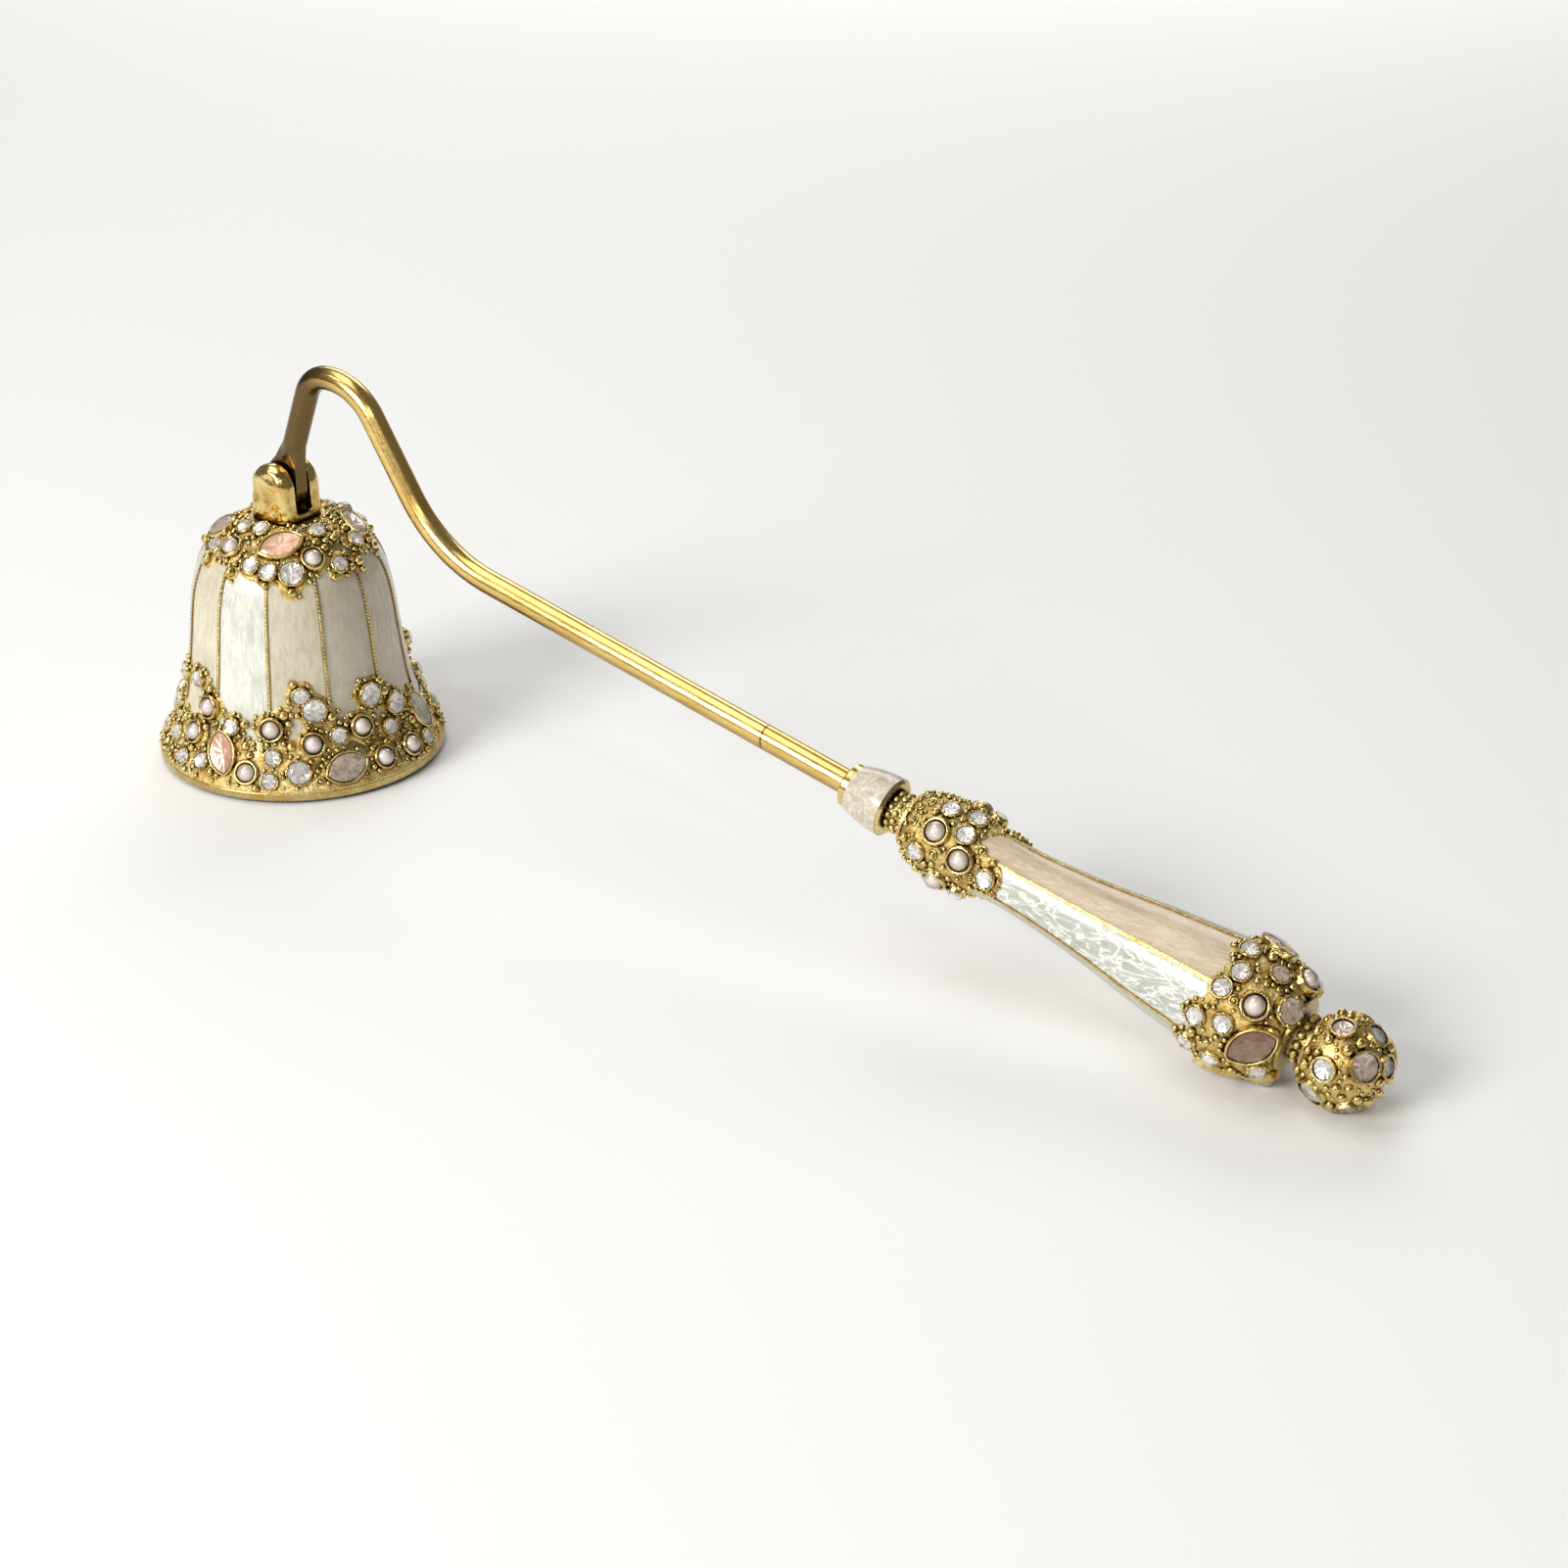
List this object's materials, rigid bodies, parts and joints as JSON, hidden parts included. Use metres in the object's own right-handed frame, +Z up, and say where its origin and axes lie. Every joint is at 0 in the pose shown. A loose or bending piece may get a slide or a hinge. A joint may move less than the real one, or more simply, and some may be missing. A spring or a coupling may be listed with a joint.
{
  "type": "candle snuffer",
  "caption": "Candle snuffer with a hinged, flared bell under a curved wire arm and a tapered handle with enamel fields, pearls and crystals.",
  "frame": {"origin": "centre of the bell's mouth, on the plane of the lip that the bell stands on", "axes": "+Z up, out of the bell's crown; +X from the bell along the arm to the handle's finial; Y along the hinge pin"},
  "size_m": [0.2319, 0.05, 0.0718],
  "materials": {
    "gold_casting": "antiqued gold plate on a cast body, satin high spots and dark hollows",
    "gold_settings": "gold plate, polished rims",
    "gold_grains": "gold plate, polished",
    "gold_wire": "gold plate, satin to polished",
    "gold_polished": "gold plate, polished with soft hammer marks",
    "enamel_peach": "glossy pearlescent enamel, pale peach",
    "enamel_pearl_white": "glossy marbled enamel, pearl white",
    "enamel_cream": "glossy enamel, cream with white swirls",
    "pearl": "pearl lustre, pinkish white",
    "crystal": "clear faceted crystal with a foiled back",
    "champagne_crystal": "faceted champagne crystal with a foiled back"
  },
  "bodies": {
    "arm": {"arm_rod": "gold_wire", "ferrule": "gold_casting", "ferrule_enamel": "enamel_cream", "finial": "gold_casting", "finial_crystals": "crystal", "finial_stud": "gold_wire", "front_bulb_crystals": "crystal", "front_bulb_pearls": "pearl", "front_bulb_settings": "gold_settings", "handle_core": "gold_casting", "handle_panel_1": "enamel_peach", "handle_panel_2": "enamel_pearl_white", "handle_panel_3": "enamel_peach", "handle_panel_4": "enamel_pearl_white", "handle_panel_5": "enamel_peach", "handle_panel_6": "enamel_pearl_white", "handle_rod": "gold_wire", "rear_bulb_crystals": "crystal", "rear_bulb_marquises": "champagne_crystal", "rear_bulb_pearls": "pearl", "rear_bulb_settings": "gold_settings"},
    "bell": {"bell_panel_01": "enamel_peach", "bell_panel_02": "enamel_pearl_white", "bell_panel_03": "enamel_peach", "bell_panel_04": "enamel_pearl_white", "bell_panel_05": "enamel_peach", "bell_panel_06": "enamel_pearl_white", "bell_panel_07": "enamel_peach", "bell_panel_08": "enamel_pearl_white", "bell_panel_09": "enamel_peach", "bell_panel_10": "enamel_pearl_white", "bell_panel_11": "enamel_peach", "bell_panel_12": "enamel_pearl_white", "bell_shell": "gold_casting", "crown_beads": "gold_grains", "crown_crystals": "crystal", "crown_marquises": "champagne_crystal", "crown_pearls": "pearl", "crown_settings": "gold_settings", "hinge_lug": "gold_polished", "hinge_pin": "gold_wire", "rim_beads": "gold_grains", "rim_crystals": "crystal", "rim_marquises": "champagne_crystal", "rim_pearls": "pearl", "rim_settings": "gold_settings"}
  },
  "joints": [
    {"name": "bell_swing", "type": "hinge", "parent": "arm", "child": "bell", "pos_m": [0, 0, 0.049], "axis": [0, 1, 0], "range_deg": [-40, 110]}
  ]
}
